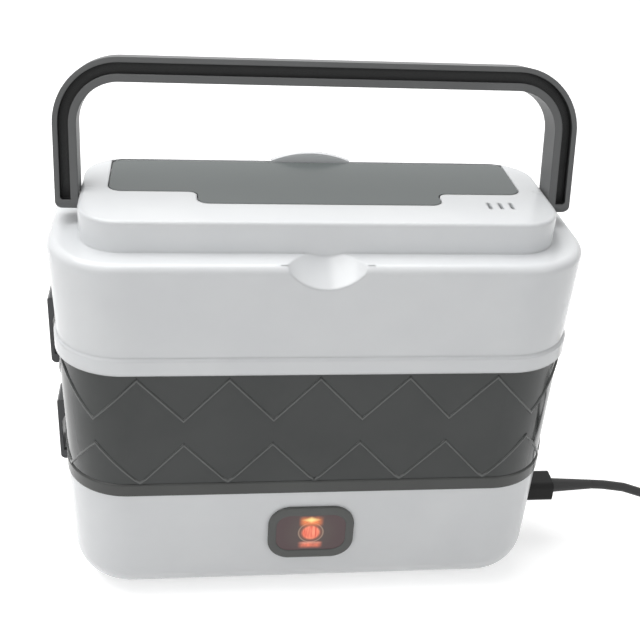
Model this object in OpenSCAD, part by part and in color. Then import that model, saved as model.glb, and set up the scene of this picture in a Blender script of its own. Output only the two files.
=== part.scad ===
// Electric lunch box: heated base, stacking middle tier, cover with a cutlery
// compartment, and a folding carry handle. Millimetres, +Z up, front towards -Y.
// Every shell is one wall profile swept round the same rounded rectangle, so a
// place on a profile is given as its inset from the cover's widest outline.

/* [Overall] */
// Width over the cover
body_w = 240; // [224:1:260]
// Depth over the cover
body_d = 102; // [98:1:120]
// Corner radius of the cover in plan
corner_r = 33; // [31:1:36]

/* [Base] */
// Height of the rubber feet below the base
foot_h = 1.5; // [1:0.1:3]
// Height of the white base shell
base_h = 64.5; // [62:0.5:80]
// Thickness of the base's wall
base_wall = 2.4; // [2:0.1:2.8]
// Rounding of the base's bottom edge
base_round = 20; // [14:1:22]
// Inset of the base above its bottom rounding
base_low_inset = 4; // [3.4:0.1:5]
// Inset of the base at its rim
base_top_inset = 2.7; // [2.3:0.1:3.2]
// Height of the grey trim ring
trim_h = 6.5; // [6:0.5:9]
// Inset of the trim ring
trim_inset = 2.3; // [1.8:0.1:2.6]

/* [Tier] */
// Height of the middle tier
tier_h = 61; // [58:0.5:75]
// Thickness of the tier's wall
tier_wall = 2.4; // [2:0.1:2.6]
// Inset of the tier at its foot
tier_low_inset = 3; // [2.6:0.1:3.4]
// Inset of the tier at its top
tier_top_inset = 1.8; // [1.4:0.1:2.4]
// Zigzag teeth round the whole tier
zigzag_teeth = 15; // [13:1:17]
// Height of one zigzag row from valley to peak
zigzag_rise = 22.3; // [18:0.1:24]
// Width of the zigzag rib
rib_w = 1.1; // [0.8:0.1:2]
// Height of the zigzag rib above the wall
rib_proud = 0.5; // [0.4:0.1:1]

/* [Cover] */
// Height from the tier to the ledge round the platform
cover_h = 53.4; // [50:0.2:60]
// Thickness of the cover's wall
cover_wall = 2.4; // [2:0.1:2.6]
// Height of the flange band at the cover's foot
flange_h = 8.3; // [6:0.1:10]
// Inset of the flange band
flange_inset = 0.3; // [0.1:0.1:0.6]
// Inset of the cover's wall just above the flange
cover_low_inset = 1.5; // [1.2:0.1:2]
// Rounding of the ledge's outer edge
ledge_round = 4; // [2.6:0.2:5]
// Width of the ledge round the platform
ledge_w = 13.8; // [13.4:0.2:15]
// Height of the platform above the ledge
platform_h = 14.3; // [13.8:0.1:17]
// Rounding of the platform's top edge
platform_round = 1.6; // [1:0.1:2]
// Radius of the finger scoops
scoop_r = 23; // [20:0.5:28]
// Depth of the finger scoops at the cover's face
scoop_depth = 11; // [8:0.5:12]
// Slope of the finger scoops in degrees
scoop_slope = 35; // [30:1:38]

/* [Cutlery compartment] */
// Width of the cutlery lid
lid_w = 188; // [176:1:190]
// Depth of the cutlery lid without its tab
lid_d = 38.2; // [37:0.2:39]
// Width of the lid's finger tab
tab_w = 109; // [80:1:120]
// Reach of the finger tab in front of the lid
tab_d = 13.2; // [9:0.2:14]
// Thickness of the cutlery lid
lid_t = 2; // [1.8:0.1:2.2]
// Gap round the cutlery lid
lid_gap = 0.5; // [0.4:0.05:0.7]
// Depth of the compartment below the lid
compartment_depth = 19; // [17:0.5:21]

/* [Handle] */
// Distance from the pivot to the top of the grip
handle_reach = 61.3; // [60:0.1:68]
// Thickness of the handle's legs, seen from the front
leg_t = 10.2; // [9.4:0.1:10.8]
// Thickness of the handle's grip, seen from the front
grip_t = 10.5; // [9.6:0.1:11]
// Depth of the handle from front to back
handle_d = 15; // [12:0.5:16]
// Outer radius of the handle's two bends
handle_bend_r = 29; // [22:0.5:34]
// Width of the groove along the handle's front
groove_w = 4.8; // [4:0.2:5.4]
// Depth of the groove along the handle's front
groove_depth = 4; // [2:0.5:4.5]
// Height of the handle's pivot above the ledge
pivot_h = 10; // [9.8:0.1:10.3]
// Radius of the handle's pivot pins
pivot_r = 2.5; // [1.5:0.1:2.6]
// Backward lean of the standing handle in degrees
handle_lean = 12; // [4:1:12]

/* [Latches] */
// Distance from a latch's pivot to its tip
latch_len = 32.5; // [31:0.5:35]
// Width of the latches
latch_w = 16; // [14:1:22]
// Thickness of the latch plate
latch_t = 1.8; // [1.5:0.1:2]
// Radius of the latch's knuckle
knuckle_r = 2.4; // [2.2:0.1:2.6]
// Radius of the latch pins
latch_pin_r = 1; // [0.8:0.1:1.2]
// Drop of the upper latches' pivot below the cover
upper_latch_drop = 16.2; // [15:0.1:17]
// Drop of the lower latches' pivot below the tier
lower_latch_drop = 11.3; // [10.8:0.1:12]
// Height of the catch bead above the wall
bead_proud = 1.3; // [1:0.1:1.4]

/* [Containers] */
// Inside depth of the upper container
upper_depth = 45; // [38:0.5:46]
// Thickness of the steel containers
steel_t = 0.6; // [0.5:0.1:0.8]
// Inset of the containers' walls
container_inset = 12.3; // [12.1:0.1:14]
// Thickness of the containers' lids
food_lid_t = 1.6; // [1.4:0.1:1.8]
// Height of the raised middle of the containers' lids
food_lid_rise = 5; // [4:0.5:6]

/* [Heater] */
// Thickness of the heating pan
pan_t = 0.8; // [0.6:0.1:1]
// Gap between the heating pan and the lower container's floor
water_gap = 1.4; // [1:0.1:2]
// Length of the heater plate
heater_w = 110; // [100:1:130]
// Width of the heater plate
heater_d = 40; // [36:1:44]
// Thickness of the heater plate
heater_t = 4; // [3:0.5:5]
// Length of the heating element
element_w = 80; // [60:1:86]
// Thickness of the heating element
element_t = 4; // [3:0.5:5]
// Radius of the thermostat
thermostat_r = 7; // [6:0.5:8]

/* [Indicator] */
// Width of the indicator's bezel
bezel_w = 42; // [40:0.5:48]
// Height of the indicator's bezel
bezel_h = 31.5; // [29:0.5:34]
// Corner radius of the bezel
bezel_r = 11; // [8:0.5:12]
// Width of the lens
lens_w = 34; // [30:0.5:35]
// Height of the lens
lens_h = 22; // [20:0.5:23]
// Height of the lamp's centre below the base's rim
lamp_drop = 24.8; // [23:0.2:26]
// Radius of the ring round the lamp
lamp_ring_r = 6; // [5.5:0.1:6.5]

/* [Inlet and cord] */
// Height of the inlet above the base's underside
inlet_h = 27; // [25:0.5:27.5]
// Width of the cord connector
connector_w = 12; // [11:0.5:13]
// Height of the cord connector
connector_h = 8.4; // [7.6:0.2:9]
// Length of the connector's grip outside the inlet
connector_grip = 19.5; // [16:0.5:22]
// Length of the cord's strain relief
boot_len = 24; // [20:1:26]
// Diameter of the mains cord
cord_d = 5; // [4.5:0.1:5.5]

/* [Hidden] */

$fn = 96;

// Gap beside moving faces, and the play of a pin in its bore.
run_gap = 0.3;
pin_play = 0.05;
// How far a cut runs past the face that it opens.
past = 1;

// Heights of the stacked parts.
base_z = foot_h;
rim_z = base_z + base_h;
tier_z = rim_z + trim_h;
cover_z = tier_z + tier_h;
ledge_z = cover_z + cover_h;
top_z = ledge_z + platform_h;

// Half size of the rectangle that every profile is swept round.
core_x = body_w / 2 - corner_r;
core_y = body_d / 2 - corner_r;

// Heights inside the stack: the pan hangs on the trim ring with its floor over the
// inlet, each container's rim rests on the pan or on the tier's ledge, and its lid
// rests on the rim.
shelf_t = 1.6;
seal_t = 0.8;
rim_t = 0.8;
socket_h = 13;
inlet_room = 3.2;
inlet_z = base_z + inlet_h;
pan_flange_z = rim_z + shelf_t + seal_t;
lower_rim_z = pan_flange_z + pan_t + rim_t;
pan_z = inlet_z + socket_h / 2 + inlet_room;
lower_z = pan_z + pan_t + water_gap;
tier_ledge_z = cover_z - 3.5;
upper_rim_z = tier_ledge_z + rim_t;
upper_z = upper_rim_z - upper_depth - steel_t;
cover_top_z = ledge_z - ledge_round;

// ---------------------------------------------------------------- shared shapes

// Sweeps a wall profile, drawn as [at_inset(i), height], round the body.
module around() {
    for (turn = [0:3]) {
        run = turn % 2 == 0 ? core_y : core_x;
        out = turn % 2 == 0 ? core_x : core_y;
        rotate([0, 0, 90 * turn]) translate([out, run, 0]) {
            rotate([90, 0, 0]) linear_extrude(2 * run) children();
            rotate_extrude(angle = 90) children();
        }
    }
}

// Fills the middle of a swept floor or roof between two heights.
module middle(z_low, z_high) {
    translate([-core_x, -core_y, z_low]) cube([2 * core_x, 2 * core_y, z_high - z_low]);
}

function at_inset(inset) = corner_r - inset;

// Places children at all four corners of a rectangle of half size x, y.
module at_corners(x, y, z) {
    for (side_x = [-1, 1], side_y = [-1, 1]) translate([side_x * x, side_y * y, z]) children();
}

// Mirrors children to the left side.
module on_side(side) {
    mirror([side < 0 ? 1 : 0, 0, 0]) children();
}

module quarter_disc(r, turn) {
    rotate(90 * turn) intersection() {
        circle(r);
        square(r);
    }
}

module rounded_rect(w, h, r) {
    square([w - 2 * r, h], center = true);
    square([w, h - 2 * r], center = true);
    for (x = [-1, 1], y = [-1, 1])
        translate([x * (w / 2 - r), y * (h / 2 - r)]) circle(r);
}

// The outline of a cup or tub from its axis outwards, less a skin.
module tub_outline(inset, z_low, z_high, bend_r, skin = 0) {
    bend_x = at_inset(inset) - bend_r;
    translate([bend_x, z_low + bend_r]) quarter_disc(bend_r - skin, 3);
    translate([0, z_low + skin]) square([bend_x, bend_r - skin]);
    translate([0, z_low + bend_r]) square([at_inset(inset) - skin, z_high - z_low - bend_r]);
}

// A thin tub with a flange round its mouth, open at the top.
module tub(inset, z_low, z_high, bend_r, skin, flange_out, flange_t) {
    around() {
        difference() {
            tub_outline(inset, z_low, z_high, bend_r);
            tub_outline(inset, z_low, z_high + past, bend_r, skin);
        }
        translate([at_inset(inset) - skin, z_high - flange_t])
            square([inset + skin - flange_out, flange_t]);
    }
    middle(z_low, z_low + skin);
}

// A flat ring swept round the body between two insets.
module flat_ring(inset_out, inset_in, z_low, t) {
    around() translate([at_inset(inset_in), z_low]) square([inset_in - inset_out, t]);
}

// ---------------------------------------------------------------- base

base_straight = base_h - base_round;
base_draft = atan((base_low_inset - base_top_inset) / base_straight);
function base_inset(z) = base_low_inset
    - (base_low_inset - base_top_inset) * (z - base_z - base_round) / base_straight;

module base_outline(skin) {
    bend_x = at_inset(base_low_inset) - base_round;
    bend_z = base_z + base_round;
    translate([bend_x, bend_z]) quarter_disc(base_round - skin, 3);
    translate([0, base_z + skin]) square([bend_x, base_round - skin]);
    polygon([[0, bend_z], [at_inset(base_low_inset) - skin, bend_z],
             [at_inset(base_top_inset) - skin, rim_z], [0, rim_z]]);
}

hatch_w = 150;
hatch_d = 36;
hatch_r = 6;
hatch_gap = 0.2;
hatch_ledge = 5;
screw_r = 1.4;
screw_head_r = 2.6;
screw_head_h = 1.2;
slot_w = 0.8;
hatch_screw_x = hatch_w / 2 - hatch_r;
hatch_screw_y = hatch_d / 2 - hatch_r;
boss_r = 3.6;
boss_h = 7;
hatch_t = base_wall - 0.4;
foot_x = core_x;
foot_y = core_y - 5;
foot_r = 6;
foot_stem_r = 2;

lamp_z = rim_z - lamp_drop;
inlet_x = body_w / 2 - base_inset(inlet_z);
socket_w = 19;

// Places children on the base's front wall, with +Z straight out of it.
module on_front_wall() {
    translate([0, -(body_d / 2 - base_inset(lamp_z)), lamp_z])
        rotate([90 + base_draft, 0, 0]) children();
}

module base_shell() {
    color("white") difference() {
        union() {
            around() difference() {
                base_outline(0);
                base_outline(base_wall);
            }
            middle(base_z, base_z + base_wall);
            translate([0, 0, base_z + base_wall]) linear_extrude(hatch_t)
                rounded_rect(hatch_w + 4, hatch_d, hatch_r + 2);
            at_corners(hatch_screw_x, hatch_screw_y, base_z + base_wall)
                cylinder(h = boss_h, r = boss_r);
            latch_lugs(lower_pivot, lower_carrier_x);
        }
        translate([0, 0, base_z - past]) linear_extrude(hatch_t + past)
            rounded_rect(hatch_w, hatch_d, hatch_r);
        translate([0, 0, base_z - past]) linear_extrude(base_wall + hatch_t + 2 * past)
            rounded_rect(hatch_w - 6 * hatch_ledge, hatch_d - 2 * hatch_ledge, hatch_r);
        at_corners(hatch_screw_x, hatch_screw_y, base_z)
            cylinder(h = base_wall + boss_h - past, r = screw_r);
        at_corners(foot_x, foot_y, base_z - past)
            cylinder(h = base_wall + 2 * past, r = foot_stem_r);
        on_front_wall() translate([0, 0, -2 * base_wall]) linear_extrude(4 * base_wall)
            rounded_rect(bezel_tube_w, bezel_tube_h, bezel_tube_r);
        translate([inlet_x - 3 * base_wall, -socket_w / 2, inlet_z - socket_h / 2])
            cube([6 * base_wall, socket_w, socket_h]);
        latch_pin_bores(lower_pivot, lower_carrier_x);
    }
}

module bottom_cover() {
    color("white") difference() {
        translate([0, 0, base_z]) linear_extrude(hatch_t)
            rounded_rect(hatch_w - 2 * hatch_gap, hatch_d - 2 * hatch_gap, hatch_r - hatch_gap);
        at_corners(hatch_screw_x, hatch_screw_y, base_z - past)
            cylinder(h = hatch_t + 2 * past, r = screw_r);
        at_corners(hatch_screw_x, hatch_screw_y, base_z - past)
            cylinder(h = screw_head_h + past, r = screw_head_r);
    }
}

module bottom_screws() {
    color("silver") at_corners(hatch_screw_x, hatch_screw_y, base_z) {
        difference() {
            cylinder(h = screw_head_h, r = screw_head_r);
            for (turn = [0, 90]) rotate(turn)
                translate([-1.6, -slot_w / 2, -past]) cube([3.2, slot_w, past + 0.7]);
        }
        cylinder(h = base_wall + boss_h - 2 * past, r = screw_r);
    }
}

module rubber_feet() {
    color("dimgray") at_corners(foot_x, foot_y, 0) {
        cylinder(h = foot_h, r = foot_r);
        cylinder(h = foot_h + base_wall, r = foot_stem_r);
        translate([0, 0, foot_h + base_wall]) cylinder(h = 1.2, r = foot_stem_r + 0.8);
    }
}

// ---------------------------------------------------------------- trim ring

trim_wall = 2.5;
trim_in = trim_inset + trim_wall;
shelf_in = 10.2;
skirt_h = 4;
skirt_t = 1.6;
trim_edge = 0.6;

module base_trim() {
    skirt_in = base_top_inset + base_wall + run_gap + skirt_t;
    color("gray") around() {
        polygon([[at_inset(trim_inset), rim_z], [at_inset(trim_inset), tier_z - trim_edge],
                 [at_inset(trim_inset + trim_edge), tier_z], [at_inset(trim_in), tier_z],
                 [at_inset(trim_in), rim_z + shelf_t], [at_inset(shelf_in), rim_z + shelf_t],
                 [at_inset(shelf_in), rim_z]]);
        translate([at_inset(skirt_in), rim_z - skirt_h]) square([skirt_t, skirt_h]);
    }
}

module pan_seal() {
    color("lightgray") flat_ring(trim_in + 1.6, shelf_in - 0.4, rim_z + shelf_t, seal_t);
}

// ---------------------------------------------------------------- heater

pan_inset = shelf_in + run_gap;
pan_round = 12;

module heating_pan() {
    color("silver") tub(pan_inset, pan_z, pan_flange_z + pan_t, pan_round, pan_t,
                        trim_in + 0.8, pan_t);
}

module heater_plate() {
    color("silver") difference() {
        translate([0, 0, pan_z - heater_t]) linear_extrude(heater_t)
            rounded_rect(heater_w, heater_d, 4);
        clamp_screw_places() translate([0, 0, element_t + clamp_t - past])
            cylinder(h = heater_t, r = screw_r);
    }
}

element_d = 22;
clamp_t = 1.5;
clamp_d = 14;
clamp_leg = 6;
clamp_z = pan_z - heater_t - element_t - clamp_t;

module heating_element() {
    color("tan") translate([0, 0, pan_z - heater_t - element_t]) linear_extrude(element_t)
        rounded_rect(element_w, element_d, 2);
}

module clamp_screw_places() {
    for (side = [-1, 1])
        translate([side * (element_w / 2 + 1 + clamp_leg / 2), 0, clamp_z]) children();
}

module element_clamp() {
    color("silver") difference() {
        union() {
            translate([-element_w / 2 - 1 - clamp_leg, -clamp_d / 2, clamp_z])
                cube([element_w + 2 * (1 + clamp_leg), clamp_d, clamp_t]);
            for (side = [-1, 1]) on_side(side)
                translate([element_w / 2 + 1, -clamp_d / 2, clamp_z])
                    cube([clamp_leg, clamp_d, clamp_t + element_t]);
        }
        clamp_screw_places() translate([0, 0, -past])
            cylinder(h = clamp_t + element_t + 2 * past, r = screw_r);
    }
}

module clamp_screws() {
    color("gray") clamp_screw_places() {
        translate([0, 0, -screw_head_h]) cylinder(h = screw_head_h, r = screw_head_r);
        cylinder(h = clamp_t + element_t + heater_t - 2 * past, r = screw_r);
    }
}

thermostat_x = heater_w / 2 + thermostat_r + 3;
thermostat_h = 7;

module thermostat() {
    color("dimgray") translate([thermostat_x, 0, pan_z - thermostat_h]) {
        cylinder(h = thermostat_h, r = thermostat_r);
        for (side = [-1, 1])
            translate([-0.4, side * 3 - 1.6, -5]) cube([0.8, 3.2, 5]);
    }
}

fuse_r = 2;
fuse_len = 14;
fuse_y = element_d / 2 + fuse_r + 1;

module thermal_fuse() {
    color("white") translate([-fuse_len / 2, fuse_y, pan_z - heater_t - fuse_r])
        rotate([0, 90, 0]) cylinder(h = fuse_len, r = fuse_r);
}

// ---------------------------------------------------------------- inlet

socket_depth = 20;
socket_lip = 0.8;
recess_depth = 13;
recess_gap = 0.3;
inlet_pin_r = 1.2;
inlet_pin_y = 3;
socket_back = inlet_x - socket_depth;

module connector_outline(gap) {
    rotate(90) rounded_rect(connector_w + 2 * gap, connector_h + 2 * gap,
                            connector_h / 2 + gap - 0.01);
}

module along_inlet(x) {
    translate([x, 0, inlet_z]) rotate([0, 90, 0]) children();
}

module inlet_socket() {
    color("black") difference() {
        union() {
            along_inlet(socket_back) linear_extrude(socket_depth + 0.4)
                square([socket_h, socket_w], center = true);
            along_inlet(inlet_x + 0.4) linear_extrude(socket_lip)
                rounded_rect(socket_h + 3, socket_w + 3, 3);
        }
        along_inlet(inlet_x - recess_depth) linear_extrude(recess_depth + 4)
            connector_outline(recess_gap);
        for (side = [-1, 1]) translate([0, side * inlet_pin_y, 0])
            along_inlet(socket_back - past) cylinder(h = socket_depth, r = inlet_pin_r);
    }
}

module inlet_pins() {
    color("gold") for (side = [-1, 1]) translate([0, side * inlet_pin_y, 0])
        along_inlet(socket_back - 4) cylinder(h = socket_depth - 1, r = inlet_pin_r);
}

// ---------------------------------------------------------------- indicator

bezel_t = 1.3;
bezel_depth = 5.2;
bezel_tube_wall = 1.2;
lens_t = 2.2;
lens_ledge = 1;
bezel_tube_w = lens_w + 2 * bezel_tube_wall;
bezel_tube_h = lens_h + 2 * bezel_tube_wall;
bezel_tube_r = 8;
board_t = 1;

module indicator_bezel() {
    color("gray") on_front_wall() difference() {
        union() {
            linear_extrude(bezel_t) rounded_rect(bezel_w, bezel_h, bezel_r);
            translate([0, 0, -bezel_depth]) linear_extrude(bezel_depth)
                rounded_rect(bezel_tube_w, bezel_tube_h, bezel_tube_r);
        }
        translate([0, 0, bezel_t - 0.2 - lens_t]) linear_extrude(lens_t + past)
            rounded_rect(lens_w, lens_h, bezel_tube_r - bezel_tube_wall);
        translate([0, 0, -bezel_depth - past]) linear_extrude(bezel_depth + 2 * past)
            rounded_rect(lens_w - 2 * lens_ledge, lens_h - 2 * lens_ledge,
                         bezel_tube_r - bezel_tube_wall - lens_ledge);
    }
}

module indicator_lens() {
    color("black") on_front_wall() translate([0, 0, bezel_t - 0.2 - lens_t])
        linear_extrude(lens_t) rounded_rect(lens_w, lens_h, bezel_tube_r - bezel_tube_wall);
}

lamp_front = bezel_t - 0.2 - lens_t - 0.3;
lamp_r = 4.3;

module lamp_ring() {
    color("gray") on_front_wall() translate([0, 0, -bezel_depth]) difference() {
        cylinder(h = bezel_depth + lamp_front, r = lamp_ring_r);
        translate([0, 0, -past]) cylinder(h = bezel_depth + 2 * past, r = lamp_r);
    }
}

module neon_lamp() {
    color("orange") on_front_wall() translate([0, 0, -bezel_depth])
        cylinder(h = bezel_depth + lamp_front - 0.4, r = lamp_r);
}

module lamp_board() {
    color("tan") on_front_wall() translate([0, 0, -bezel_depth - board_t])
        linear_extrude(board_t) rounded_rect(bezel_tube_w, bezel_tube_h, 2);
}

// ---------------------------------------------------------------- inner wiring

lead_r = 0.9;

// A round wire through the given points, with a ball at each bend.
module wire(points) {
    for (i = [0:len(points) - 2]) {
        step = points[i + 1] - points[i];
        translate(points[i])
            rotate([0, acos(step[2] / norm(step)), atan2(step[1], step[0])])
                cylinder(h = norm(step), r = lead_r, $fn = 24);
        if (i > 0) translate(points[i]) sphere(lead_r, $fn = 24);
    }
}

module supply_leads() {
    fuse_z = pan_z - heater_t - fuse_r;
    low_z = base_z + base_wall + boss_h + 2;
    loop_x = thermostat_x - 13;
    loop_h = 8;
    color("firebrick") {
        wire([[socket_back - 4, inlet_pin_y, inlet_z], [socket_back - 10, 9, inlet_z - 4],
              [20, fuse_y, fuse_z - 4], [fuse_len / 2, fuse_y, fuse_z]]);
        wire([[-fuse_len / 2, fuse_y, fuse_z], [-30, fuse_y + 2, low_z + 10],
              [-element_w / 2 + 4, 0, low_z + 6], [-20, 0, clamp_z - lead_r]]);
        wire([[socket_back - 4, -inlet_pin_y, inlet_z], [socket_back - 9, -4, inlet_z - 6],
              [thermostat_x, -3, pan_z - thermostat_h - 5]]);
        wire([[thermostat_x, 3, pan_z - thermostat_h - 5], [loop_x, 4, low_z + loop_h],
              [20, 0, clamp_z - lead_r]]);
    }
}

module lamp_leads() {
    board_y = -(body_d / 2 - base_inset(lamp_z)) + bezel_depth + board_t;
    solder_x = 6;
    solder_drop = 8;
    color("white") for (side = [-1, 1])
        wire([[side * solder_x, board_y + lead_r, lamp_z - solder_drop],
              [side * solder_x, board_y + 5, lamp_z - solder_drop - 4],
              [side * 20, -18, clamp_z + 1], [side * 20, -element_d / 2 - lead_r, clamp_z + 3]]);
}

// ---------------------------------------------------------------- latches

// A latch turns on a pin through a lug, just outside the wall that carries it,
// and its nose reaches over a bead on the part above. The bead's upper flank is
// steeper than the nose's path while the part above rises and the latch swings out.
ear_r = 2.3;
cheek_t = 2.5;
cheek_skin = 0.8;
cheek_gap = 0.3;
pin_end_gap = 0.2;
lug_w = latch_w - 2 * (cheek_t + cheek_gap);
knuckle_gap = 0.4;
bead_slope = 68;
bead_w = latch_w - 8;
nose_len = 5;
nose_round = 1;
function pivot_x(carrier_x) = carrier_x + knuckle_gap + knuckle_r;

lower_pivot = tier_z - lower_latch_drop;
upper_pivot = cover_z - upper_latch_drop;
lower_carrier_x = body_w / 2 - base_top_inset;
upper_carrier_x = body_w / 2 - tier_top_inset;
lower_catch_x = body_w / 2 - tier_inset(lower_pivot + latch_len - nose_len);
upper_catch_x = body_w / 2 - cover_inset(upper_pivot + latch_len - nose_len);

// The lug that carries a latch, between the latch's two cheeks.
module latch_lugs(pivot_z, carrier_x) {
    root = 2.2;
    for (side = [-1, 1]) on_side(side)
        translate([0, lug_w / 2, pivot_z]) rotate([90, 0, 0])
            linear_extrude(lug_w) {
                translate([pivot_x(carrier_x), 0]) circle(ear_r);
                translate([carrier_x - root, -ear_r])
                    square([pivot_x(carrier_x) - carrier_x + root, 2 * ear_r]);
            }
}

module latch_pin_bores(pivot_z, carrier_x) {
    for (side = [-1, 1]) translate([side * pivot_x(carrier_x), 0, pivot_z])
        rotate([90, 0, 0]) cylinder(h = latch_w, r = latch_pin_r, center = true);
}

// The pins end inside the cheeks, out of sight.
module latch_pins(pivot_z, carrier_x) {
    color("silver") for (side = [-1, 1])
        translate([side * pivot_x(carrier_x), 0, pivot_z])
            rotate([90, 0, 0])
                cylinder(h = latch_w - 2 * (cheek_skin + pin_end_gap), r = latch_pin_r,
                    center = true);
}

// The bead that the nose reaches over, on a wall at catch_x.
module catch_beads(pivot_z, catch_x) {
    bead_h = bead_proud * tan(bead_slope);
    apex_z = pivot_z + latch_len - nose_len - bead_h;
    root = 1.2;
    for (side = [-1, 1]) on_side(side) translate([catch_x, bead_w / 2, apex_z])
        rotate([90, 0, 0]) linear_extrude(bead_w)
            polygon([[-root, bead_h], [0, bead_h], [bead_proud, 0],
                     [0, -bead_proud], [-root, -bead_proud]]);
}

// A right-hand latch, drawn as [outwards, up] from its pivot.
module latch(pivot_z, carrier_x, catch_x) {
    plate_in = knuckle_r - latch_t;
    nose_in = catch_x + run_gap - pivot_x(carrier_x);
    nose_drop = (plate_in - nose_in) * tan(bead_slope);
    plate_low = ear_r + 0.5;
    color("dimgray") translate([pivot_x(carrier_x), 0, pivot_z]) difference() {
        union() {
            translate([0, latch_w / 2, 0]) rotate([90, 0, 0]) linear_extrude(latch_w) {
                translate([plate_in, plate_low])
                    square([latch_t, latch_len - plate_low - nose_round]);
                polygon([[plate_in, latch_len - nose_len - nose_drop],
                         [nose_in, latch_len - nose_len], [nose_in, latch_len - nose_round],
                         [nose_in + nose_round, latch_len], [knuckle_r - nose_round, latch_len],
                         [knuckle_r, latch_len - nose_round],
                         [plate_in + 0.1, latch_len - nose_len - nose_drop]]);
            }
            for (end = [-1, 1]) translate([0, end * (latch_w - cheek_t) / 2 + cheek_t / 2, 0])
                rotate([90, 0, 0]) linear_extrude(cheek_t) {
                    circle(knuckle_r);
                    translate([plate_in, 0]) square([latch_t, plate_low + 0.1]);
                }
        }
        latch_bore();
    }
}

// The blind bore that holds the pin between the cheeks.
module latch_bore() {
    rotate([90, 0, 0])
        cylinder(h = latch_w - 2 * cheek_skin, r = latch_pin_r + pin_play, center = true);
}

module lower_latch_pins() {
    latch_pins(lower_pivot, lower_carrier_x);
}

module lower_latch_right() {
    latch(lower_pivot, lower_carrier_x, lower_catch_x);
}

module lower_latch_left() {
    on_side(-1) lower_latch_right();
}

module upper_latch_pins() {
    latch_pins(upper_pivot, upper_carrier_x);
}

module upper_latch_right() {
    latch(upper_pivot, upper_carrier_x, upper_catch_x);
}

module upper_latch_left() {
    on_side(-1) upper_latch_right();
}

// ---------------------------------------------------------------- containers

rim_out = trim_in + 2.8;
container_round = 10;

module container(z_low, z_high) {
    color("silver") tub(container_inset, z_low, z_high, container_round, steel_t, rim_out, rim_t);
}

module lower_container() {
    container(lower_z, lower_rim_z);
}

module upper_container() {
    container(upper_z, upper_rim_z);
}

dome_step = 2.2;
dome_foot = container_inset + steel_t + 3;
valve_r = 3;

// A container's lid: a flat edge on the rim, and a raised middle with a valve hole.
module food_lid(z) {
    edge = rim_out + 0.3;
    high = z + food_lid_rise;
    color("lightgray") difference() {
        union() {
            around() polygon([[at_inset(edge), z], [at_inset(edge), z + food_lid_t],
                [at_inset(dome_foot), z + food_lid_t],
                [at_inset(dome_foot + dome_step), high + food_lid_t], [0, high + food_lid_t],
                [0, high], [at_inset(dome_foot + dome_step + food_lid_t), high],
                [at_inset(dome_foot + food_lid_t), z]]);
            middle(high, high + food_lid_t);
        }
        translate([0, 0, z]) cylinder(h = 2 * food_lid_rise + food_lid_t, r = valve_r);
    }
}

module food_lid_seal(z) {
    seal_out = container_inset + steel_t + run_gap;
    color("white") around() translate([at_inset(dome_foot + 0.6), z - 2.6])
        square([dome_foot + 0.6 - seal_out, 2.6]);
}

module food_lid_valve(z) {
    high = z + food_lid_rise;
    color("white") translate([0, 0, high]) {
        translate([0, 0, -1]) cylinder(h = 1, r = valve_r + 1);
        cylinder(h = food_lid_t, r = valve_r);
        translate([0, 0, food_lid_t]) cylinder(h = 1.6, r = valve_r + 3);
    }
}

module lower_lid() {
    food_lid(lower_rim_z);
}

module lower_lid_seal() {
    food_lid_seal(lower_rim_z);
}

module lower_lid_valve() {
    food_lid_valve(lower_rim_z);
}

module upper_lid() {
    food_lid(upper_rim_z);
}

module upper_lid_seal() {
    food_lid_seal(upper_rim_z);
}

module upper_lid_valve() {
    food_lid_valve(upper_rim_z);
}

// ---------------------------------------------------------------- tier

function tier_inset(z) = tier_low_inset
    - (tier_low_inset - tier_top_inset) * (z - tier_z) / tier_h;

// A spigot under a shell's foot steps inside the rim that the shell stands on.
spigot_gap = 0.5;
spigot_t = 1.8;
foot_plate_t = 2;
tier_spigot_h = 2.4;
cover_spigot_h = 2.2;
tier_ledge_t = 2;
tier_ledge_in = shelf_in;
lid_edge_top = food_lid_t + run_gap;

module tier_shell() {
    spigot = trim_in + spigot_gap;
    ledge_z_top = tier_ledge_z;
    ledge_z_low = tier_ledge_z - tier_ledge_t;
    color("dimgray") difference() {
        union() {
            around() polygon([[at_inset(tier_low_inset), tier_z],
                [at_inset(tier_top_inset), cover_z],
                [at_inset(tier_top_inset + tier_wall), cover_z],
                [at_inset(tier_inset(ledge_z_top) + tier_wall), ledge_z_top],
                [at_inset(tier_ledge_in), ledge_z_top], [at_inset(tier_ledge_in), ledge_z_low],
                [at_inset(tier_inset(ledge_z_low) + tier_wall), ledge_z_low],
                [at_inset(tier_inset(tier_z + foot_plate_t) + tier_wall), tier_z + foot_plate_t],
                [at_inset(spigot + spigot_t + 2), tier_z + foot_plate_t],
                [at_inset(spigot + spigot_t + 2), tier_z],
                [at_inset(spigot + spigot_t), tier_z],
                [at_inset(spigot + spigot_t), tier_z - tier_spigot_h],
                [at_inset(spigot), tier_z - tier_spigot_h], [at_inset(spigot), tier_z]]);
            zigzag_ribs();
            latch_lugs(upper_pivot, upper_carrier_x);
            catch_beads(lower_pivot, lower_catch_x);
        }
        latch_pin_bores(upper_pivot, upper_carrier_x);
    }
}

module tier_seal() {
    inner = trim_in + spigot_gap + spigot_t + run_gap;
    gap_h = tier_z - (lower_rim_z) - lid_edge_top;
    color("lightgray") flat_ring(inner, inner + 1.6, tier_z - gap_h, gap_h);
}

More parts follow.
